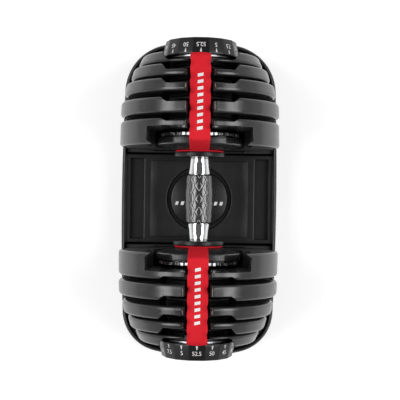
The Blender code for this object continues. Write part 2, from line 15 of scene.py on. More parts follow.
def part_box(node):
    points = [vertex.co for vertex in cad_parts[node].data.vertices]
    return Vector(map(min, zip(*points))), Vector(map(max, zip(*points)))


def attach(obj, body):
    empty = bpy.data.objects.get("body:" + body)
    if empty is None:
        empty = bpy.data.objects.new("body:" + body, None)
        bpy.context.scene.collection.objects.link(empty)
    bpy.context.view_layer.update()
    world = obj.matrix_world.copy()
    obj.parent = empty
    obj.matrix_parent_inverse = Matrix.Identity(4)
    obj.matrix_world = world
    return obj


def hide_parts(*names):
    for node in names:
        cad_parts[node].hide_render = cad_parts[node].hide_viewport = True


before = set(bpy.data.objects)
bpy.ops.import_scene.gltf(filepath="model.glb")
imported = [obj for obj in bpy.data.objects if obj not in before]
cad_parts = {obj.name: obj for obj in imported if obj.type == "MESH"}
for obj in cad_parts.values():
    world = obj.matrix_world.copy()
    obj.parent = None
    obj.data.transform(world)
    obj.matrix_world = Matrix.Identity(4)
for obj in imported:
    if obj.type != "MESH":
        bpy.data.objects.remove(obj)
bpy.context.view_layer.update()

MM = 1000.0
AXIS_Z = sum(c.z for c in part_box("centre_shaft")) / 2 * MM
SETTINGS = (5, 7.5, 10, 12.5, 15, 17.5, 20, 22.5, 25, 30, 35, 40, 45, 50, 52.5)
SECTOR = 2 * pi / len(SETTINGS)
PLATE_POUNDS = {5: 7.5, 4: 7.5, 3: 5.0, 2: 2.5, 1: 1.25}
GAP = 0.3

# Plate looks: number -> (rim taper towards the dial, outer rounding, inner rounding)
RIMS = {
    5: (0.6, 4.5, 4.0),
    4: (0.8, 5.0, 4.5),
    3: (3.0, 5.0, 4.0),
    2: (4.5, 5.0, 3.5),
    1: (7.0, 6.0, 3.0),
}
WEB_END = {5: 92.8, 4: 115.8, 3: 138.4, 2: 155.3, 1: 168.5}
NOTCH = 15.0
NOTCH_ROUND = 7.0
RECESS = (41.2, 47.0)  # half width at the web and at the outer face
CORE_SLOT = 46.0
FLAT = 30.0


# Points and outlines ------------------------------------------------------------------
def arc(radius, start, end, steps, centre=(0, 0)):
    """Points on a circle; angles run clockwise from straight up."""
    turns = [start + (end - start) * n / steps for n in range(steps + 1)]
    return [(centre[0] + radius * sin(a), centre[1] + radius * cos(a)) for a in turns]


def fillet(corners, steps=6):
    """A closed outline of (x, y) or (x, y, radius) corners with its corners rounded."""
    points = []
    for n, corner in enumerate(corners):
        here = Vector(corner[:2])
        if len(corner) < 3:
            points.append(tuple(here))
            continue
        back = Vector(corners[n - 1][:2]) - here
        ahead = Vector(corners[(n + 1) % len(corners)][:2]) - here
        half = back.angle(ahead) / 2
        reach = min(corner[2] / tan(half), 0.49 * back.length, 0.49 * ahead.length)
        radius = reach * tan(half)
        back.normalize()
        ahead.normalize()
        centre = here + (back + ahead).normalized() * (radius / sin(half))
        first = here + back * reach - centre
        last = here + ahead * reach - centre
        start = atan2(first.y, first.x)
        sweep = (atan2(last.y, last.x) - start + pi) % (2 * pi) - pi
        for k in range(steps + 1):
            turn = start + sweep * k / steps
            points.append((centre.x + radius * cos(turn), centre.y + radius * sin(turn)))
    return points


def slot_outline(half, top, low_half=None, steps=24):
    """A slot open upward with a round bottom, which may be narrower than the slot."""
    bottom = arc(low_half or half, -pi / 2, -3 * pi / 2, steps)
    if low_half:
        bottom = [(-half, 0)] + bottom + [(half, 0)]
    return [(-half, top)] + bottom + [(half, top)]


def notch_outline(half, radius, mouth, top):
    """A slot whose mouth, at a height of radius, rounds outwards."""
    flare = arc(mouth, -pi / 2, 0, 10, (half + mouth, radius - mouth))
    bottom = arc(half, -pi / 2, -3 * pi / 2, 24)
    left = [(-x, y) for x, y in reversed(flare)]
    wide = half + mouth
    return [(-wide, top)] + left + bottom + flare + [(wide, top)]


def plate_outline(radius, notch, flat, steps=60):
    top = asin(notch / radius)
    foot = pi - asin(flat / radius)
    return (
        arc(radius, top, foot, steps)
        + arc(radius, -foot, -top, steps)
        + arc(notch, -pi / 2, -3 * pi / 2, 24)
    )


def rectangle(x0, x1, y0, y1, radius=0.0):
    corners = [(x0, y0), (x1, y0), (x1, y1), (x0, y1)]
    return fillet([(*c, radius) for c in corners]) if radius else corners


def smooth(value):
    value = min(max(value, 0.0), 1.0)
    return value * value * (3 - 2 * value)


# Solids -------------------------------------------------------------------------------
def new_object(name, mesh):
    obj = bpy.data.objects.new(name, mesh)
    bpy.context.scene.collection.objects.link(obj)
    return obj


def from_bmesh(name, shape):
    bmesh.ops.recalc_face_normals(shape, faces=shape.faces)
    mesh = bpy.data.meshes.new(name)
    shape.to_mesh(mesh)
    shape.free()
    return new_object(name, mesh)


def prism(name, outlines, low, high, across=False):
    """Flat outlines made solid from low to high along z, or across x."""
    curve = bpy.data.curves.new(name, "CURVE")
    curve.dimensions = "2D"
    curve.fill_mode = "BOTH"
    curve.extrude = (high - low) / 2
    for points in outlines:
        spline = curve.splines.new("POLY")
        spline.points.add(len(points) - 1)
        for spot, (x, y) in zip(spline.points, points):
            spot.co = (x, y, 0, 1)
        spline.use_cyclic_u = True
    drawn = new_object(name, curve)
    solved = bpy.context.evaluated_depsgraph_get()
    mesh = bpy.data.meshes.new_from_object(drawn.evaluated_get(solved))
    bpy.data.objects.remove(drawn)
    bpy.data.curves.remove(curve)
    mesh.transform(Matrix.Translation((0, 0, (low + high) / 2)))
    if across:
        mesh.transform(Matrix.Rotation(-pi / 2, 4, "Y"))
    shape = bmesh.new()
    shape.from_mesh(mesh)
    bpy.data.meshes.remove(mesh)
    bmesh.ops.remove_doubles(shape, verts=shape.verts, dist=1e-4)
    bmesh.ops.dissolve_limit(
        shape, angle_limit=radians(0.5), verts=shape.verts, edges=shape.edges
    )
    return from_bmesh(name, shape)


def lathe(name, profile, steps=96, shaping=None):
    """A closed profile of (radius, along) spun round z; radius 0 ends are closed."""
    shape = bmesh.new()
    rings = []
    for r, along in profile:
        if r < 1e-6:
            rings.append([shape.verts.new((0, 0, along))])
            continue
        ring = []
        for k in range(steps):
            turn = 2 * pi * k / steps
            reach = r * (shaping(turn, r, along) if shaping else 1.0)
            ring.append(shape.verts.new((reach * sin(turn), reach * cos(turn), along)))
        rings.append(ring)
    pairs = list(zip(rings, rings[1:]))
    if len(rings[0]) > 1:
        pairs.append((rings[-1], rings[0]))
    for a, b in pairs:
        for k in range(steps):
            m = (k + 1) % steps
            if len(a) == 1 and len(b) == 1:
                break
            if len(a) == 1:
                shape.faces.new((a[0], b[k], b[m]))
            elif len(b) == 1:
                shape.faces.new((a[k], b[0], a[m]))
            else:
                shape.faces.new((a[k], b[k], b[m], a[m]))
    return from_bmesh(name, shape)


def box(name, low, high):
    shape = bmesh.new()
    bmesh.ops.create_cube(shape, size=1)
    size = [b - a for a, b in zip(low, high)]
    middle = [(a + b) / 2 for a, b in zip(low, high)]
    bmesh.ops.scale(shape, vec=size, verts=shape.verts)
    bmesh.ops.translate(shape, vec=middle, verts=shape.verts)
    return from_bmesh(name, shape)


def flare(obj, share):
    """Widen the far end of a prism by a share."""
    middle = sum(v.co.z for v in obj.data.vertices) / len(obj.data.vertices)
    for vert in obj.data.vertices:
        if vert.co.z > middle:
            vert.co.x *= share
            vert.co.y *= share
    return obj


def settle(obj):
    """Apply the object's modifiers."""
    solved = bpy.context.evaluated_depsgraph_get()
    mesh = bpy.data.meshes.new_from_object(obj.evaluated_get(solved))
    old = obj.data
    obj.modifiers.clear()
    obj.data = mesh
    bpy.data.meshes.remove(old)
    return obj


def combine(obj, *others, how="DIFFERENCE"):
    for other in others:
        change = obj.modifiers.new(how, "BOOLEAN")
        change.operation = how
        change.object = other
        settle(obj)
        bpy.data.objects.remove(other)
    return obj


def clean(obj):
    """Drop the slivers that cutting leaves, which the rounding would turn into spikes."""
    shape = bmesh.new()
    shape.from_mesh(obj.data)
    bmesh.ops.remove_doubles(shape, verts=shape.verts, dist=0.05)
    bmesh.ops.dissolve_limit(
        shape, angle_limit=radians(0.3), verts=shape.verts, edges=shape.edges
    )
    many_sided = [face for face in shape.faces if len(face.verts) > 4]
    bmesh.ops.triangulate(shape, faces=many_sided, ngon_method="BEAUTY")
    bmesh.ops.join_triangles(
        shape, faces=shape.faces, angle_face_threshold=radians(0.3),
        angle_shape_threshold=3.1,
    )
    shape.to_mesh(obj.data)
    shape.free()
    return obj


def soften(obj, width, segments=2, angle=40):
    """Round the sharp edges, and keep the flats flat in the shading."""
    shape = bmesh.new()
    shape.from_mesh(obj.data)
    bmesh.ops.remove_doubles(shape, verts=shape.verts, dist=0.02)
    shape.to_mesh(obj.data)
    shape.free()
    bevel = obj.modifiers.new("Bevel", "BEVEL")
    bevel.width = width
    bevel.segments = segments
    bevel.limit_method = "ANGLE"
    bevel.angle_limit = radians(angle)
    bevel.use_clamp_overlap = False
    bevel.miter_outer = "MITER_ARC"
    obj.data.shade_smooth()
    weigh = obj.modifiers.new("Weighted", "WEIGHTED_NORMAL")
    weigh.keep_sharp = True
    weigh.weight = 80
    return settle(obj)


# Placing ------------------------------------------------------------------------------
def end_matrix(end):
    """From an end's own axes in millimetres to the frame in metres."""
    turn = pi if end == "back" else 0.0
    spin = Matrix.Rotation(turn, 4, "Z") @ Matrix.Rotation(pi / 2, 4, "X")
    return Matrix.Scale(1 / MM, 4) @ Matrix.Translation((0, 0, AXIS_Z)) @ spin


WORLD = Matrix.Scale(1 / MM, 4)


def place(obj, name, matrix, body, material, stands_for=(), slot=None, sharp=35):
    """Name the finished piece, carry it to the frame and fasten it to its CAD body."""
    if obj.type == "MESH":
        obj.data.transform(matrix)
        if sharp:
            obj.data.shade_smooth()
            obj.data.set_sharp_from_angle(angle=radians(sharp))
    else:
        obj.matrix_world = matrix
    obj.name = name
    obj.data.name = name
    obj.data.materials.clear()
    obj.data.materials.append(material)
    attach(obj, body)
    if stands_for:
        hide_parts(*stands_for)
    return obj


# Materials ----------------------------------------------------------------------------
class Shader:
    """A Principled material with noise-driven colour, gloss and bump."""

    def __init__(self, name, roughness, metallic=0.0, **fixed):
        self.material = bpy.data.materials.new(name)
        self.material.use_nodes = True
        self.tree = self.material.node_tree
        self.surface = self.tree.nodes["Principled BSDF"]
        self.surface.inputs["Metallic"].default_value = metallic
        self.surface.inputs["Roughness"].default_value = roughness
        for socket, value in fixed.items():
            self.surface.inputs[socket.replace("_", " ")].default_value = value
        self.place = self.tree.nodes.new("ShaderNodeTexCoord").outputs["Object"]

    def link(self, out, into):
        self.tree.links.new(out, into)

    def noise(self, scale, detail=4.0, stretch=None, roughness=0.6):
        """Noise over the object's own coordinates, scale in cells a metre."""
        place = self.place
        if stretch:
            mapping = self.tree.nodes.new("ShaderNodeMapping")
            mapping.inputs["Scale"].default_value = stretch
            self.link(place, mapping.inputs["Vector"])
            place = mapping.outputs["Vector"]
        node = self.tree.nodes.new("ShaderNodeTexNoise")
        node.inputs["Scale"].default_value = scale
        node.inputs["Detail"].default_value = detail
        node.inputs["Roughness"].default_value = roughness
        self.link(place, node.inputs["Vector"])
        return node.outputs["Fac"]

    def ramp(self, value, stops):
        node = self.tree.nodes.new("ShaderNodeValToRGB")
        ramp = node.color_ramp
        while len(ramp.elements) < len(stops):
            ramp.elements.new(0.5)
        for element, (at, colour) in zip(ramp.elements, stops):
            element.position = at
            element.color = (*colour, 1) if len(colour) == 3 else colour
        self.link(value, node.inputs["Fac"])
        return node.outputs["Color"]

    def span(self, value, low, high, from_low=0.3, from_high=0.7):
        node = self.tree.nodes.new("ShaderNodeMapRange")
        node.inputs["From Min"].default_value = from_low
        node.inputs["From Max"].default_value = from_high
        node.inputs["To Min"].default_value = low
        node.inputs["To Max"].default_value = high
        self.link(value, node.inputs["Value"])
        return node.outputs["Result"]

    def mix(self, fac, a, b):
        node = self.tree.nodes.new("ShaderNodeMix")
        node.data_type = "RGBA"
        for value, socket in ((fac, node.inputs[0]), (a, node.inputs[6]), (b, node.inputs[7])):
            if isinstance(value, bpy.types.NodeSocket):
                self.link(value, socket)
            elif isinstance(value, tuple):
                socket.default_value = (*value, 1)
            else:
                socket.default_value = value
        return node.outputs[2]

    def worn_and_highlit_edges(self, low=0.52, high=0.62):
        """1 on the object's convex edges, broken up by noise: where wear and a painted edge highlight
        go.
        """
        geometry = self.tree.nodes.new("ShaderNodeNewGeometry")
        edge = self.span(geometry.outputs["Pointiness"], 0, 1, low, high)
        node = self.tree.nodes.new("ShaderNodeMath")
        node.operation = "MULTIPLY"
        self.link(edge, node.inputs[0])
        self.link(self.span(self.noise(180, 3), 0, 1, 0.35, 0.65), node.inputs[1])
        return node.outputs[0]

    def colour(self, out):
        self.link(out, self.surface.inputs["Base Color"])

    def gloss(self, out):
        self.link(out, self.surface.inputs["Roughness"])

    def bump(self, height, strength, distance):
        node = self.tree.nodes.new("ShaderNodeBump")
        node.inputs["Strength"].default_value = strength
        node.inputs["Distance"].default_value = distance
        before = self.surface.inputs["Normal"].links
        if before:
            self.link(before[0].from_socket, node.inputs["Normal"])
        self.link(height, node.inputs["Height"])
        self.link(node.outputs["Normal"], self.surface.inputs["Normal"])


def moulded(name, dark, light, rough, grain=1600, grain_depth=0.00006, edge_wear_and_highlight=None, **fixed):
    """Moulded plastic: cloudy colour, fine spark-eroded grain, scuffs, and edges lightened by wear and
    painted highlight.
    """
    shader = Shader(name, sum(rough) / 2, **fixed)
    base = shader.ramp(shader.noise(22, 5), ((0.3, dark), (0.7, light)))
    # The edges get a lighter colour, partly wear and partly a painted highlight standing in for light
    # caught along them.
    if edge_wear_and_highlight:
        base = shader.mix(shader.worn_and_highlit_edges(), base, edge_wear_and_highlight)
    shader.colour(base)
    scuffs = shader.noise(60, 8, stretch=(1, 5, 1))
    shader.gloss(shader.span(scuffs, rough[0], rough[1]))
    shader.bump(shader.noise(grain, 2), 0.35, grain_depth)
    return shader.material


def metal(name, dark, light, rough, brush=None, bump=0.00002):
    """Bare or plated metal, with a brushed direction where brush gives the stretch."""
    shader = Shader(name, sum(rough) / 2, metallic=1.0)
    shader.colour(shader.ramp(shader.noise(30, 4), ((0.3, dark), (0.7, light))))
    lines = shader.noise(700 if brush else 45, 6, stretch=brush)
    shader.gloss(shader.span(lines, rough[0], rough[1]))
    shader.bump(lines, 0.25, bump)
    return shader.material


def make_materials():
    made = {}
    made["cover"] = moulded(
        "moulded_plate_cover", (0.010, 0.010, 0.0105), (0.017, 0.017, 0.018), (0.17, 0.26),
        edge_wear_and_highlight=(0.05, 0.05, 0.052), IOR=1.58,
    )
    made["core"] = moulded(
        "painted_steel_core", (0.014, 0.014, 0.015), (0.024, 0.024, 0.025), (0.45, 0.62),
        grain=700, grain_depth=0.0001,
    )
    made["guard"] = moulded(
        "moulded_guard", (0.014, 0.014, 0.0145), (0.024, 0.024, 0.025), (0.22, 0.30),
        edge_wear_and_highlight=(0.05, 0.05, 0.052), IOR=1.62,
    )
    made["tray"] = moulded(
        "moulded_base", (0.006, 0.006, 0.0064), (0.011, 0.011, 0.0116), (0.29, 0.36),
        edge_wear_and_highlight=(0.04, 0.04, 0.042), IOR=1.5,
    )
    made["cradle"] = moulded(
        "moulded_cradle", (0.008, 0.008, 0.009), (0.014, 0.014, 0.015), (0.48, 0.60)
    )
    made["badge"] = moulded(
        "smooth_medallion", (0.005, 0.005, 0.0054), (0.008, 0.008, 0.0086), (0.26, 0.34),
        grain=2600, grain_depth=0.00003, IOR=1.42,
    )
    # Near-black for the ring in the groove round the medallion: painted shade for the groove's dark
    # floor.
    made["groove_shade_black"] = moulded(
        "groove_shade_black", (0.003, 0.003, 0.003), (0.006, 0.006, 0.006), (0.20, 0.30),
        grain=2600, grain_depth=0.00002,
    )
    made["black"] = moulded(
        "satin_black", (0.006, 0.006, 0.006), (0.011, 0.011, 0.012), (0.28, 0.38),
        grain=2000, grain_depth=0.00003, edge_wear_and_highlight=(0.025, 0.025, 0.025), IOR=1.38,
    )
    made["red"] = moulded(
        "red_bridge", (0.57, 0.016, 0.026), (0.67, 0.023, 0.034), (0.34, 0.44),
        grain=2200, grain_depth=0.00003, edge_wear_and_highlight=(0.66, 0.03, 0.04), Specular_IOR_Level=0.0,
    )
    made["grip"] = moulded(
        "grip_sleeve", (0.012, 0.012, 0.013), (0.022, 0.022, 0.023), (0.15, 0.24),
        grain=1500, grain_depth=0.00003, edge_wear_and_highlight=(0.05, 0.05, 0.05), IOR=2.0,
    )
    made["disc"] = moulded(
        "selector_nylon", (0.016, 0.016, 0.017), (0.026, 0.026, 0.028), (0.42, 0.55)
    )
    made["rubber"] = moulded(
        "foot_rubber", (0.008, 0.008, 0.008), (0.014, 0.014, 0.014), (0.70, 0.88),
        grain=500, grain_depth=0.0002,
    )
    made["print"] = moulded(
        "white_print", (0.66, 0.66, 0.66), (0.80, 0.80, 0.79), (0.45, 0.60),
        grain=3000, grain_depth=0.00002,
    )
    made["chrome"] = metal("chrome_plate", (0.58, 0.59, 0.60), (0.72, 0.72, 0.73), (0.05, 0.12))
    made["steel"] = metal(
        "bright_steel", (0.30, 0.30, 0.31), (0.55, 0.55, 0.56), (0.16, 0.30), (1, 1, 6)
    )
    made["zinc"] = metal(
        "zinc_plate", (0.50, 0.51, 0.53), (0.68, 0.69, 0.71), (0.26, 0.40), (1, 6, 1)
    )
    return made


# The plates ---------------------------------------------------------------------------
def plate_size(end, number):
    """A cover's radius and its faces along the axis, from its CAD node."""
    low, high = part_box(f"{end}_plate_{number}_cover")
    along = sorted(abs(y) * MM for y in (low.y, high.y))
    nominal = {5: 101.6, 4: 101.1, 3: 96.6, 2: 89.1, 1: 79.9}[number]
    outer = {5: 96.4, 4: 121.5, 3: 144.8, 2: 163.4, 1: 180.0}[number]
    return nominal, along[0], min(along[1], outer)


def build_plate(end, number, look):
    radius, inner, outer = plate_size(end, number)
    taper, outer_round, inner_round = RIMS[number]
    web = WEB_END[number]
    far = radius + 12
    rim = fillet([
        (radius - taper, outer, outer_round),
        (radius, inner, inner_round),
        (8, inner),
        (8, outer),
    ], steps=7)
    name = f"{end}_plate_{number}"
    shell = lathe(name, rim, 120)
    foot = -sqrt(radius**2 - FLAT**2)
    core_low, core_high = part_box(f"{name}_core")
    core_r = (core_high.x - core_low.x) / 2 * MM
    core_end = max(abs(core_low.y), abs(core_high.y)) * MM
    pocket = plate_outline(core_r + GAP, CORE_SLOT - GAP, FLAT * 0.8)
    notch = notch_outline(NOTCH, radius - taper / 2, NOTCH_ROUND, far)
    over = outer + 9
    spread = 1 + (RECESS[1] / RECESS[0] - 1) * (over - web) / (outer - web)
    cutters = [
        prism("foot", [rectangle(-radius, radius, foot - 20, foot)], inner - 9, over),
        prism("notch", [notch], inner - 9, over),
        flare(prism("recess", [slot_outline(RECESS[0], far)], web, over), spread),
        prism("pocket", [pocket], inner - 1, core_end + GAP),
    ]
    core = prism(
        name + "_steel", [plate_outline(core_r, CORE_SLOT, FLAT * 0.8)], inner + GAP, core_end
    )
    if number == 5:
        guard = slot_outline(64.0, far, 57.0)
        mouth = flare(prism("mouth", [slot_outline(55.5, far)], inner - 1, inner + 6), 1.17)
        cutters.insert(3, prism("guard", [guard], inner + 5.9, 86.5))
        cutters.insert(4, mouth)
        combine(core, prism("guard", [guard], inner - 9, 86.5))
    combine(shell, *cutters)
    tab = rectangle(-6, 6, -34.5, -27, 1.2)
    combine(shell, prism("tab", [tab], web - 1, web + 4.5), how="UNION")
    body = f"{end}_plate_{number}"
    spot = end_matrix(end)
    place(
        soften(clean(shell), 1.0), name + "_shell", spot, body, look["cover"],
        [name + "_cover"], "plate_cover", sharp=None,
    )
    place(
        soften(clean(core), 0.4), name + "_insert", spot, body, look["core"],
        [name + "_core"], "plate_core", sharp=None,
    )


# Selector -----------------------------------------------------------------------------
def plates_used(setting):
    """Numbers of the plates that one end lifts at a setting, heaviest first."""
    left = (setting - SETTINGS[0]) / 2
    used = set()
    for number, pounds in PLATE_POUNDS.items():
        if pounds <= left + 1e-9:
            used.add(number)
            left -= pounds
    return used


def open_sectors(number):
    count = len(SETTINGS)
    free = [number not in plates_used(setting) for setting in SETTINGS]
    gaps = []
    for first in range(count):
        if not free[first] or free[first - 1]:
            continue
        run = 1
        while free[(first + run) % count]:
            run += 1
        start = pi + (count - 1 - first + 0.5) * SECTOR
        end = start - run * SECTOR
        gaps.append(arc(35.0, start, end, 4 * run) + arc(41.0, end, start, 4 * run))
    return gaps


def build_disc(end, number, look):
    name = f"{end}_selector_disc_{number}"
    low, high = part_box(name)
    along = sorted(abs(y) * MM for y in (low.y, high.y))
    start = WEB_END[number] + 0.5
    limit = {5: 101.1, 4: 127.4, 3: 147.2, 2: 164.9, 1: 176.2}[number]
    hub_start = along[0] if number == 5 else start
    profile = fillet([
        (40.0, limit, 0.8), (40.0, start, 0.5), (36.0, start, 0.5), (36.0, limit - 2.5, 1.0),
        (14.0, limit - 2.5, 1.0), (14.0, hub_start, 0.6), (6.4, hub_start), (6.4, along[1]),
        (14.0, along[1], 0.5), (14.0, limit, 0.6),
    ], steps=3)
    disc = lathe(name, profile, 90)
    combine(disc, prism("gaps", open_sectors(number), start - 1, limit - 2.2))
    place(disc, name + "_fine", end_matrix(end), f"{end}_selector", look["disc"], [name],
          "selector_disc")


def build_index_wheel(end, look):
    name = f"{end}_index_wheel"
    low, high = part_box(name)
    along = sorted(abs(y) * MM for y in (low.y, high.y))
    pitch = 2 * pi / 30
    rim = []
    for n in range(30):
        middle = n * pitch
        rim += arc(46.8, middle - 0.42 * pitch, middle - 0.30 * pitch, 1)
        rim += arc(50.0, middle - 0.20 * pitch, middle + 0.20 * pitch, 3)
        rim += arc(46.8, middle + 0.30 * pitch, middle + 0.42 * pitch, 1)
    hole = arc(14.6, 0, 2 * pi * 59 / 60, 59)
    windows = []
    for n in range(5):
        middle = (n + 0.5) * 2 * pi / 5
        window = arc(40.0, middle - 0.42, middle + 0.42, 12) + arc(22.0, middle + 0.36, middle - 0.36, 8)
        windows.append(window)
    wheel = prism(name, [rim, hole] + windows, *along)
    place(soften(wheel, 0.35), name + "_fine", end_matrix(end), f"{end}_selector", look["steel"],
          [name], "index_wheel", sharp=None)


# Dial ---------------------------------------------------------------------------------
DIAL_INNER = 178.8
DIAL_FACE = 200.0
TICK = (181.3, 186.2, 1.4)  # its two ends along the axis and half its width
NUMBER_TOP = 188.1
NUMBER_TALL = 5.2


def dial_radius(along):
    """The dial's widest radius at a place along the axis: a gently crowned cone."""
    t = (along - DIAL_INNER) / (DIAL_FACE - DIAL_INNER)
    return 49.0 - 3.6 * t - 0.9 * t * t


def facet(turn):
    """The dial's 15 flats, as a share of the round radius."""
    off = (turn + SECTOR / 2) % SECTOR - SECTOR / 2
    flat = cos(SECTOR / 2) / cos(off)
    return 1 - (1 - flat) * 0.85


def dial_shape(turn, r, along):
    return 1 - (1 - facet(turn)) * smooth((r - 41.0) / 2.5)


def wrap_on_dial(obj, turn, middle_along):
    """Bend a flat print in the x-y plane on to the dial, round the axis at a turn."""
    for vert in obj.data.vertices:
        x, y, lift = vert.co
        along = middle_along - y
        r = dial_radius(along)
        angle = turn + x / r
        reach = r * facet(angle) + 0.08 + lift
        vert.co = (reach * sin(angle), reach * cos(angle), along)
    return obj


def cut_fine(obj, step=0.6):
    """Cut a flat print into strips so that it can bend."""
    shape = bmesh.new()
    shape.from_mesh(obj.data)
    low = min(v.co.x for v in shape.verts)
    high = max(v.co.x for v in shape.verts)
    n = 1
    while low + n * step < high:
        parts = shape.verts[:] + shape.edges[:] + shape.faces[:]
        bmesh.ops.bisect_plane(shape, geom=parts, plane_co=(low + n * step, 0, 0), plane_no=(1, 0, 0))
        n += 1
    shape.to_mesh(obj.data)
    shape.free()
    return obj


def number_print(text):
    """A number as thin raised print, centred on x, its top at y 0."""
    curve = bpy.data.curves.new("number", "FONT")
    curve.body = text
    curve.align_x = "CENTER"
    curve.size = NUMBER_TALL / 0.70
    curve.space_character = 0.96
    curve.extrude = 0.05
    curve.offset = 0.02
    curve.resolution_u = 3
    drawn = new_object("number", curve)
    solved = bpy.context.evaluated_depsgraph_get()
    mesh = bpy.data.meshes.new_from_object(drawn.evaluated_get(solved))
    bpy.data.objects.remove(drawn)
    bpy.data.curves.remove(curve)
    mesh.materials.clear()
    return cut_fine(new_object("number", mesh))


def join(objects, name):
    shape = bmesh.new()
    for obj in objects:
        shape.from_mesh(obj.data)
    for obj in objects:
        bpy.data.objects.remove(obj)
    bmesh.ops.remove_doubles(shape, verts=shape.verts, dist=1e-5)
    mesh = bpy.data.meshes.new(name)
    shape.to_mesh(mesh)
    shape.free()
    return new_object(name, mesh)


def build_dial(end, look):
    selector = f"{end}_selector"
    spot = end_matrix(end)
    flank = [(dial_radius(a), a) for a in [198.2 - 1.8 * n for n in range(10)]]
    profile = fillet([
        (20.4, 197.5), (20.4, 200.0, 0.4), (dial_radius(200.0), 200.0, 1.3), *flank,
        (49.0, DIAL_INNER, 1.0), (44.8, DIAL_INNER, 0.4), (41.6, 196.0, 1.5), (16.0, 196.0, 1.5),
        (16.0, 181.0, 0.4), (6.4, 181.0), (6.4, 189.4), (12.0, 189.4), (12.0, 197.5),
    ], 3)
    dial = lathe(f"{end}_dial", profile, 180, dial_shape)
    place(dial, f"{end}_dial_fine", spot, selector, look["black"], [f"{end}_dial"], "dial", 40)
    prints = []
    for k, setting in enumerate(SETTINGS):
        turn = (len(SETTINGS) - 1 - k) * SECTOR
        text = f"{setting:g}"
        prints.append(wrap_on_dial(number_print(text), turn, NUMBER_TOP + NUMBER_TALL))
        near, tip, half = TICK
        tick = prism("tick", [[(-half, 0), (half, 0), (0.25, near - tip), (-0.25, near - tip)]],
                     -0.05, 0.05)
        prints.append(wrap_on_dial(cut_fine(tick), turn, near))
    marks = join(prints, f"{end}_dial_marks")
    place(marks, f"{end}_dial_marks", spot, selector, look["print"], (), "dial", 60)
    cap = [(0, 199.5), (6.0, 199.5), (8.0, 199.0), (10.0, 199.5), (18.4, 200.0), (19.6, 199.8),
           (20.0, 199.2), (20.0, 197.8), (0, 197.8)]
    place(lathe(f"{end}_cap", cap, 72), f"{end}_dial_cap_fine", spot, selector, look["black"],
          [f"{end}_dial_cap"], "dial_cap")


# Handle -------------------------------------------------------------------------------
GRIP_HALF = 30.8


def grip_profile(along):
    return 15.6 + 1.7 * cos(along / GRIP_HALF * pi / 2)


def triangle_wave(value):
    return abs((value % 1.0) - 0.5) * 2


def build_grip(look):
    """The barrel-shaped sleeve with its lattice of long raised scales."""
    around, rows = 300, 220
    scales_round, scale_long = 11, 16.4
    shape = bmesh.new()
    rings = []
    for row in range(rows + 1):
        along = GRIP_HALF * (1 - 2 * row / rows)
        ring = []
        edge = smooth((GRIP_HALF - abs(along)) / 2.6)
        round_off = 1 - smooth((GRIP_HALF - abs(along)) / 1.4)
        for k in range(around):
            turn = 2 * pi * k / around
            a = turn / (2 * pi) * scales_round
            b = along / scale_long
            lattice = min(triangle_wave(a + b), triangle_wave(a - b))
            groove = (1 - smooth(lattice / 0.34)) * edge
            dome = sin(lattice * pi / 2) * edge
            r = grip_profile(along) + 0.14 * dome - 0.20 * groove - 0.9 * round_off
            ring.append(shape.verts.new((r * sin(turn), r * cos(turn), along)))
        rings.append(ring)
    for along in (-GRIP_HALF, GRIP_HALF):
        ring = [2 * pi * k / around for k in range(around)]
        rings.append([shape.verts.new((12.8 * sin(t), 12.8 * cos(t), along)) for t in ring])
    for a, b in list(zip(rings, rings[1:])) + [(rings[-1], rings[0])]:
        for k in range(around):
            m = (k + 1) % around
            shape.faces.new((a[k], b[k], b[m], a[m]))
    grip = from_bmesh("grip", shape)
    place(grip, "grip_sleeve_fine", end_matrix("back"), "handle", look["grip"],
          ["grip_sleeve"], "grip", 60)


def build_handle(look):
    spot = end_matrix("back")
    half = [(12.5, 65.2, 0.4), (12.5, 53.3), (11.5, 52.9, 0.3), (12.9, 40.0, 60.0),
            (14.1, 31.9, 0.5), (13.4, 31.3, 0.3), (12.5, 31.2)]
    mirrored = [(p[0], -p[1], *p[2:]) for p in reversed(half)]
    outline = fillet(half + mirrored + [(6.4, -65.2), (6.4, 65.2)], 4)
    place(lathe("core", outline, 96), "handle_core_fine", spot, "handle", look["chrome"],
          ["handle_core"], "handle_chrome", 30)
    build_grip(look)
    rod = fillet([(0, 195.0), (6.0, 195.0, 0.8), (6.0, -195.0, 0.8), (0, -195.0)], 3)
    place(lathe("rod", rod, 48), "centre_shaft_fine", spot, "handle", look["steel"],
          ["centre_shaft"], "shaft")


def build_collar(end, look):
    spot = end_matrix(end)
    collar = lathe("collar", fillet([(32.0, 59.0, 0.8), (32.0, 53.0, 1.6), (12.85, 53.0, 0.4),
                                     (12.85, 59.0)], 4), 96)
    combine(collar, box("slot", (-4.3, -45, 54.0), (4.3, -14.0, 58.0)))
    place(collar, f"{end}_collar_fine", spot, "handle", look["black"], [f"{end}_collar"],
          "collar")
    pin = prism("pin", [fillet([(-4, -20), (-4, -32.2, 0.5), (-2.6, -34, 0.8), (2.6, -34, 0.8),
                                (4, -32.2, 0.5), (4, -20)], 3)], 54.3, 57.7)
    place(soften(pin, 0.3), f"{end}_lock_pin_fine", spot, f"{end}_lock", look["zinc"],
          [f"{end}_lock_pin"], "lock_pin", sharp=None)
    curve = bpy.data.curves.new("spring", "CURVE")
    curve.dimensions = "3D"
    curve.bevel_depth = 0.35
    curve.bevel_resolution = 3
    curve.use_fill_caps = True
    spline = curve.splines.new("POLY")
    count = 3 * 24
    spline.points.add(count)
    for n, point in enumerate(spline.points):
        turn = 2 * pi * n / 24
        height = -19.3 + 4.6 * n / count
        point.co = (1.2 * cos(turn), height, 56.0 + 1.2 * sin(turn), 1)
    spring = new_object("spring", curve)
    settled = bpy.data.meshes.new_from_object(
        spring.evaluated_get(bpy.context.evaluated_depsgraph_get())
    )
    bpy.data.objects.remove(spring)
    place(new_object("spring", settled), f"{end}_lock_spring_fine", spot, "handle", look["steel"],
          [f"{end}_lock_spring"], "lock_spring")


GUARD_TOP = 47.5
GUARD_CROWN = 115.0  # radius of the guard's flattened top


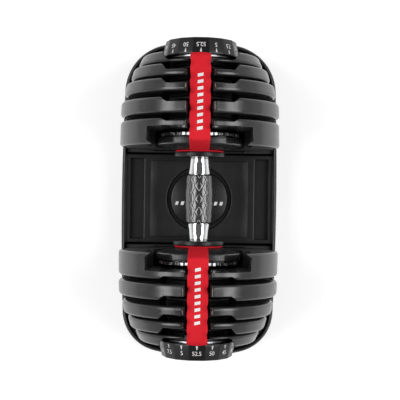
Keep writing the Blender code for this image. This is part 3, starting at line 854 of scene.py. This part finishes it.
def guard_shape(turn, r, along):
    """A share of the round radius that leaves the guard's top flatter than its sides."""
    drop = GUARD_CROWN - GUARD_TOP
    crown = sqrt(GUARD_CROWN**2 - (drop * sin(turn)) ** 2) - drop * cos(turn)
    share = min(1.0, crown / 54.0)
    return 1 - (1 - share) * smooth((r - 31.0) / 18.0)


def build_guard(end, look):
    profile = fillet([
        (54.0, 77.0, 0.8), (54.0, 68.2, 2.2), (31.0, 61.8, 1.5), (12.85, 61.8, 0.3), (12.85, 64.8),
        (30.0, 64.8, 1.0), (51.2, 70.8, 1.5), (51.2, 77.0, 0.6),
    ], 5)
    place(lathe("guard", profile, 120, guard_shape), f"{end}_guard_fine", end_matrix(end), "handle",
          look["guard"], [f"{end}_guard"], "guard")


# Bridge -------------------------------------------------------------------------------
BRIDGE_HALF = 12.5
DIMPLES = (87.0, 108.0, 130.0, 147.5, 164.0)
NEAR_TOP = (69.0, 103.0)
FAR_TOP = (172.0, 88.0)


def bridge_path():
    """Points (along, up) up the inner leg, over the plates and down the outer leg."""
    corners = [(60.4, 24.0), (60.6, 31.0, 14.0), (*NEAR_TOP, 5.5), (*FAR_TOP, 7.0),
               (176.2, 78.0, 8.0), (176.4, 43.6)]
    open_ends = fillet(corners, 8)
    fine = []
    for a, b in zip(open_ends, open_ends[1:]):
        steps = max(1, int(hypot(b[0] - a[0], b[1] - a[1]) / 1.2))
        for k in range(steps):
            t = k / steps
            fine.append((a[0] + (b[0] - a[0]) * t, a[1] + (b[1] - a[1]) * t))
    return fine + [open_ends[-1]]


def bridge_section(along, up):
    """The channel's closed section at one station: (across, out) points."""
    on_top = smooth((up - 84.0) / 2.0) * smooth((along - 67.5) / 5.0) * smooth((171.5 - along) / 4.0)
    deep = 1.6 + 6.6 * on_top
    dip = sum(exp(-(((along - d) / 3.9) ** 2)) for d in DIMPLES) * smooth((up - 80) / 4)
    half = BRIDGE_HALF - 0.9 * dip
    points = []
    columns = 18
    for n in range(columns + 1):
        x = -half + 2 * half * n / columns
        crown = -1.1 * (x / half) ** 2 - 0.9 * smooth((abs(x) - half + 1.6) / 1.6)
        scoop = -4.2 * dip * smooth((abs(x) - half + 6.4) / 4.6)
        points.append((x, crown + scoop))
    inner = half - 2.2
    roof = -2.6 - 2.4 * dip * on_top
    points += [(half, -deep), (inner, -deep), (inner, max(roof, -deep + 0.1) - 0.05)]
    points += [(-inner, max(roof, -deep + 0.1) - 0.05), (-inner, -deep), (-half, -deep)]
    return points


def build_bridge(end, look):
    path = bridge_path()
    shape = bmesh.new()
    rings = []
    for n, (along, up) in enumerate(path):
        a = Vector(path[max(n - 1, 0)])
        b = Vector(path[min(n + 1, len(path) - 1)])
        tangent = (b - a).normalized()
        out = Vector((-tangent.y, tangent.x))
        ring = []
        for x, lift in bridge_section(along, up):
            ring.append(shape.verts.new((x, up + out.y * lift, along + out.x * lift)))
        rings.append(ring)
    for a, b in zip(rings, rings[1:]):
        for k in range(len(a)):
            m = (k + 1) % len(a)
            shape.faces.new((a[k], a[m], b[m], b[k]))
    shape.faces.new(rings[0])
    shape.faces.new(list(reversed(rings[-1])))
    bridge = from_bmesh("bridge", shape)
    flange = lathe("flange", fillet([(30.4, 61.3, 0.5), (30.4, 59.5, 0.5), (12.85, 59.5),
                                     (12.85, 61.3)], 3), 96)
    combine(bridge, flange, how="UNION")
    spot = end_matrix(end)
    place(bridge, f"{end}_bridge_fine", spot, "handle", look["red"], [f"{end}_bridge"], "bridge",
          42)
    bars = []
    slope = (FAR_TOP[1] - NEAR_TOP[1]) / (FAR_TOP[0] - NEAR_TOP[0])
    for n in range(9):
        middle = 84.0 + n * 8.0
        bars.append(slanted_bar(middle, NEAR_TOP[1] + slope * (middle - NEAR_TOP[0]), slope))
    place(join(bars, "bars"), f"{end}_bridge_bars", spot, "handle", look["print"], (), "bridge",
          60)


def slanted_bar(middle, up, slope):
    """One bar of the plain white pattern on the bridge, lying on its crowned top."""
    bar = prism("bar", [[(-3.4, -1.9), (3.4, -3.3), (3.4, 0.5), (-3.4, 1.9)]], -0.06, 0.06)
    cut_fine(bar, 0.8)
    for vert in bar.data.vertices:
        x, along, lift = vert.co
        crown = -1.1 * (x / BRIDGE_HALF) ** 2
        vert.co = (x, up + slope * along + crown + 0.1 + lift, middle + along)
    return bar


def build_end_plate(end, look):
    disc = arc(41.5, 0, 2 * pi * 89 / 90, 89)
    corner = arc(3.0, 0, pi / 2, 5, (8.0, 55.0))
    hole = arc(16.0, 0, 2 * pi * 47 / 48, 47)
    holes = [arc(2.1, 0, 2 * pi * 15 / 16, 15, (x, 51.0)) for x in (-5.5, 5.5)]
    plate = prism("end_plate", [disc, hole], 176.8, 180.0)
    ear = [(-x, y) for x, y in reversed(corner)] + corner + [(11.0, 38.0), (-11.0, 38.0)]
    combine(plate, prism("ear", [ear] + holes, 176.8, 178.2), how="UNION")
    place(soften(plate, 0.5), f"{end}_end_plate_fine", end_matrix(end), "handle", look["zinc"],
          [f"{end}_end_plate"], "end_plate", sharp=None)
    corners = [(9.5 * sin(n * pi / 3), 9.5 * cos(n * pi / 3)) for n in range(6)]
    thread = arc(6.3, 0, 2 * pi * 31 / 32, 31)
    nut = prism("nut", [corners, thread], 190.0, 196.0)
    place(soften(nut, 0.6), f"{end}_shaft_nut_fine", end_matrix(end), "handle", look["zinc"],
          [f"{end}_shaft_nut"], "shaft_nut", sharp=None)


# Base ---------------------------------------------------------------------------------
HALF_X, HALF_Y = 105.5, 214.5
SIDE_BOW, END_BOW = 3750.0, 246.0
CORNER = {"back": 66.0, "front": 57.0}
RIM_Z, DECK_Z, WALL = 45.0, 41.0, 4.5
DECK_Y = 60.0
PANEL = (68.6, 52.0, 32.0)


def tray_quarter(corner, inset, start):
    """The base's plan from the middle of an end to the middle of a side, end at +y."""
    side_centre = HALF_X - SIDE_BOW
    end_centre = HALF_Y - END_BOW
    corner_x = HALF_X - corner
    for _ in range(20):
        corner_y = end_centre + sqrt((END_BOW - corner) ** 2 - corner_x**2)
        corner_x = side_centre + sqrt((SIDE_BOW - corner) ** 2 - corner_y**2)
    join_end = atan2(corner_x, corner_y - end_centre)
    join_side = pi / 2 - atan2(corner_y, corner_x - side_centre)
    last = pi / 2 - asin(start / (SIDE_BOW - inset))
    quarter = arc(END_BOW - inset, 0, join_end, 10, (0, end_centre))
    quarter += arc(corner - inset, join_end, join_side, 20, (corner_x, corner_y))[1:]
    quarter += arc(SIDE_BOW - inset, join_side, last, 8, (side_centre, 0))[1:]
    return quarter


def tray_outline(inset=0.0):
    back = tray_quarter(CORNER["back"], inset, 0)
    front = [(x, -y) for x, y in tray_quarter(CORNER["front"], inset, 0)]
    right = back + list(reversed(front))[1:]
    return right + [(-x, y) for x, y in reversed(right)][1:-1]


def tray_end(end, inset, start):
    """The plan of one end of the base, from a distance from the middle outwards."""
    sign = 1 if end == "back" else -1
    half = [(x, sign * y) for x, y in tray_quarter(CORNER[end], inset, start)]
    return [(-x, y) for x, y in reversed(half)][:-1] + half


def build_tray(look):
    tray = prism("tray", [tray_outline()], 2.0, RIM_Z)
    soften(tray, 3.6, 5)
    groove = prism("groove", [tray_outline(-2), tray_outline(0.9)], 11.0, 12.4)
    lip = prism("lip", [tray_outline(-2), tray_outline(0.7)], 36.0, 37.0)
    half_x = HALF_X - WALL - 0.8
    deck = prism("deck", [rectangle(-half_x, half_x, -DECK_Y - 1, DECK_Y + 1)], DECK_Z, 60)
    combine(tray, groove, lip, deck)
    for end in CORNER:
        combine(tray, prism("well", [tray_end(end, WALL, DECK_Y)], 5.0, 60))
    half, long, low = PANEL
    sag = DECK_Z - low
    sweep = (half**2 + sag**2) / (2 * sag)
    reach = asin(half / sweep)
    dish = arc(sweep, pi + reach, pi - reach, 48, (0, low + sweep)) + [(half, 60), (-half, 60)]
    panel = prism("panel", [dish], -long, long)
    panel.data.transform(Matrix.Rotation(pi / 2, 4, "X"))
    combine(tray, panel)
    seat = lathe("seat", [(0, 60), (44.5, 60), (44.5, 29.5), (0, 29.5)], 120)
    combine(tray, seat)
    for sign in (1, -1):
        x0, x1 = sorted((sign * 74.8, sign * 94.4))
        combine(tray, prism("bin", [rectangle(x0, x1, -54.8, 54.8, 1.5)], 33.0, 60))
    combine(tray, box("under", (-96.5, -55.5, -10), (96.5, 55.5, 26)))
    for sign in (1, -1):
        y0, y1 = sorted((sign * 54.5, sign * 57.5))
        post = prism("post", [fillet([(-9, 38), (-7, 44, 3), (-7, 91.7, 1.5), (7, 91.7, 1.5),
                                      (7, 44, 3), (9, 38)], 4)], -y1, -y0)
        post.data.transform(Matrix.Rotation(pi / 2, 4, "X"))
        combine(tray, post, how="UNION")
        y0, y1 = sorted((sign * 139.7, sign * 156.3))
        combine(tray, box("foot", (-70.3, y0, -10), (70.3, y1, 4.0)))
    place(soften(tray, 0.7, 2, 50), "base_tray_fine", WORLD, "base", look["tray"], ["base_tray"],
          "tray", sharp=None)
    badge = [(0, 32.8), (37.2, 32.8), (38.0, 32.5), (38.4, 31.8), (38.4, 29.8), (0, 29.8)]
    place(lathe("badge", badge, 120), "base_medallion_fine", WORLD, "base", look["badge"],
          ["base_medallion"], "medallion")
    # A black ring laid on the floor of the groove round the badge: painted shade where the groove is
    # dark.
    ring = fillet([(44.3, 29.6), (44.3, 30.0, 0.2), (38.6, 30.0, 0.2), (38.6, 29.6)], 2)
    place(lathe("ring", ring, 120), "base_groove_shade_ring", WORLD, "base", look["groove_shade_black"], (),
          "medallion")
    bars = []
    for n in range(9):
        x = (n - 4) * 7.6
        bar = prism("bar", [[(x - 2.6, -8.4), (x + 1.2, -8.4), (x + 2.6, -3.6), (x - 1.2, -3.6)]],
                    32.84, 32.98)
        bars.append(bar)
    place(join(bars, "bars"), "base_medallion_bars", WORLD, "base", look["print"], (),
          "medallion", 60)


def build_foot(end, look):
    low, high = (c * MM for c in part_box(f"{end}_foot_strip"))
    radius = (high.y - low.y) / 2
    middle = (high.y + low.y) / 2
    inset = high.x - radius
    outline = arc(radius, 0, pi, 16, (inset, middle)) + arc(radius, pi, 2 * pi, 16, (-inset, middle))
    strip = prism("strip", [outline], 0.0, high.z)
    place(soften(strip, 0.6), f"{end}_foot_strip_fine", WORLD, "base", look["rubber"],
          [f"{end}_foot_strip"], "foot", sharp=None)


def build_cradle(end, look):
    sign = 1 if end == "back" else -1
    start = DECK_Y + WALL / 2
    cradle = prism("cradle", [tray_end(end, WALL + 0.5, start)], 6.0, 58.0)
    for hand in (1, -1):
        x0, x1 = sorted((hand * 62.0, hand * 120.0))
        y0, y1 = sorted((0, sign * 230))
        combine(cradle, box("shoulder", (x0, y0, 38.0), (x1, y1, 90)))
    y0, y1 = sorted((sign * 183.0, sign * 230))
    combine(cradle, box("nose", (-63, y0, 38.0), (63, y1, 90)))
    soften(cradle, 1.6, 3, 60)
    for number in RIMS:
        radius, inner, outer = plate_size(end, number)
        radius += 0.5
        foot = pi - asin(FLAT / radius)
        slot = arc(radius, pi / 2, foot, 30) + arc(radius, -foot, -pi / 2, 30)
        slot = [(x, y - 0.5) for x, y in slot]
        seat = prism("seat", [slot], inner - 0.5, outer + 0.5)
        seat.data.transform(Matrix.Scale(MM, 4) @ end_matrix(end))
        combine(cradle, seat)
    y0, y1 = sorted((sign * (start + WALL), sign * 177.0))
    combine(cradle, box("under", (-57.5, y0, 0), (57.5, y1, 24.0)))
    place(soften(cradle, 0.5, 2, 50), f"{end}_cradle_fine", WORLD, "base", look["cradle"],
          [f"{end}_cradle"], "cradle", sharp=None)


# Stage --------------------------------------------------------------------------------
CAMERA_HEIGHT = 1.25  # above the handle's axis
CAMERA_LENS = 88.0
CAMERA_OFF = (0.0013, -0.0013)
CAMERA_ROLL = radians(-0.8)


def build_stage():
    shader = Shader("pale_floor", 0.9, Emission_Strength=0.35)
    shader.surface.inputs["Emission Color"].default_value = (1, 1, 1, 1)
    shader.colour(shader.ramp(shader.noise(6, 3), ((0.3, (0.86,) * 3), (0.7, (0.90,) * 3))))
    shape = bmesh.new()
    bmesh.ops.create_grid(shape, x_segments=2, y_segments=2, size=4.0)
    floor = from_bmesh("studio_floor", shape)
    floor.data.materials.append(shader.material)


def area_light(name, spot, size, radiance, aim=(0, 0, 0.126)):
    """A soft box: size is its length and width in metres, its length lying across the aim."""
    lamp = bpy.data.lights.new(name, "AREA")
    lamp.shape = "RECTANGLE"
    lamp.size, lamp.size_y = size
    lamp.energy = radiance * pi * size[0] * size[1]
    obj = bpy.data.objects.new(name, lamp)
    obj.location = spot
    towards = Vector(aim) - Vector(spot)
    obj.rotation_euler = towards.to_track_quat("-Z", "Y").to_euler()
    bpy.context.scene.collection.objects.link(obj)


def build_light():
    """Bright horizon, dark zenith, four soft boxes round the zenith and one on each side."""
    world = bpy.data.worlds.new("studio")
    bpy.context.scene.world = world
    world.use_nodes = True
    tree = world.node_tree
    background = tree.nodes["Background"]
    coords = tree.nodes.new("ShaderNodeTexCoord")
    split = tree.nodes.new("ShaderNodeSeparateXYZ")
    ramp = tree.nodes.new("ShaderNodeValToRGB")
    tree.links.new(coords.outputs["Generated"], split.inputs["Vector"])
    tree.links.new(split.outputs["Z"], ramp.inputs["Fac"])
    stops = ramp.color_ramp.elements
    stops[0].position = 0.0
    stops[0].color = (0.9, 0.9, 0.9, 1)
    stops[1].position = 0.75
    stops[1].color = (0.14, 0.14, 0.14, 1)
    tree.links.new(ramp.outputs["Color"], background.inputs["Color"])
    for sign in (1, -1):
        for along in (1, -1):
            spot = (sign * 0.77, along * 0.18, 1.6)
            area_light(f"overhead_{sign}_{along}", spot, (0.30, 0.20), 6.0)
        area_light(f"beside_{sign}", (sign * 1.08, 0, 1.17), (1.6, 0.53), 5.0)
    bpy.context.scene.view_settings.view_transform = "Standard"


def build_camera():
    data = bpy.data.cameras.new("camera")
    data.lens = CAMERA_LENS
    data.sensor_width = 36.0
    camera = bpy.data.objects.new("camera", data)
    camera.location = (*CAMERA_OFF, AXIS_Z / MM + CAMERA_HEIGHT)
    camera.rotation_euler = (0, 0, -CAMERA_ROLL)
    bpy.context.scene.collection.objects.link(camera)
    bpy.context.scene.camera = camera


# Assembly -----------------------------------------------------------------------------
LOOK = make_materials()
build_camera()
build_light()
build_stage()
build_tray(LOOK)
build_handle(LOOK)
for side in ("back", "front"):
    build_foot(side, LOOK)
    build_cradle(side, LOOK)
    build_collar(side, LOOK)
    build_guard(side, LOOK)
    build_bridge(side, LOOK)
    build_end_plate(side, LOOK)
    build_index_wheel(side, LOOK)
    build_dial(side, LOOK)
    for plate_number in RIMS:
        build_disc(side, plate_number, LOOK)
        build_plate(side, plate_number, LOOK)
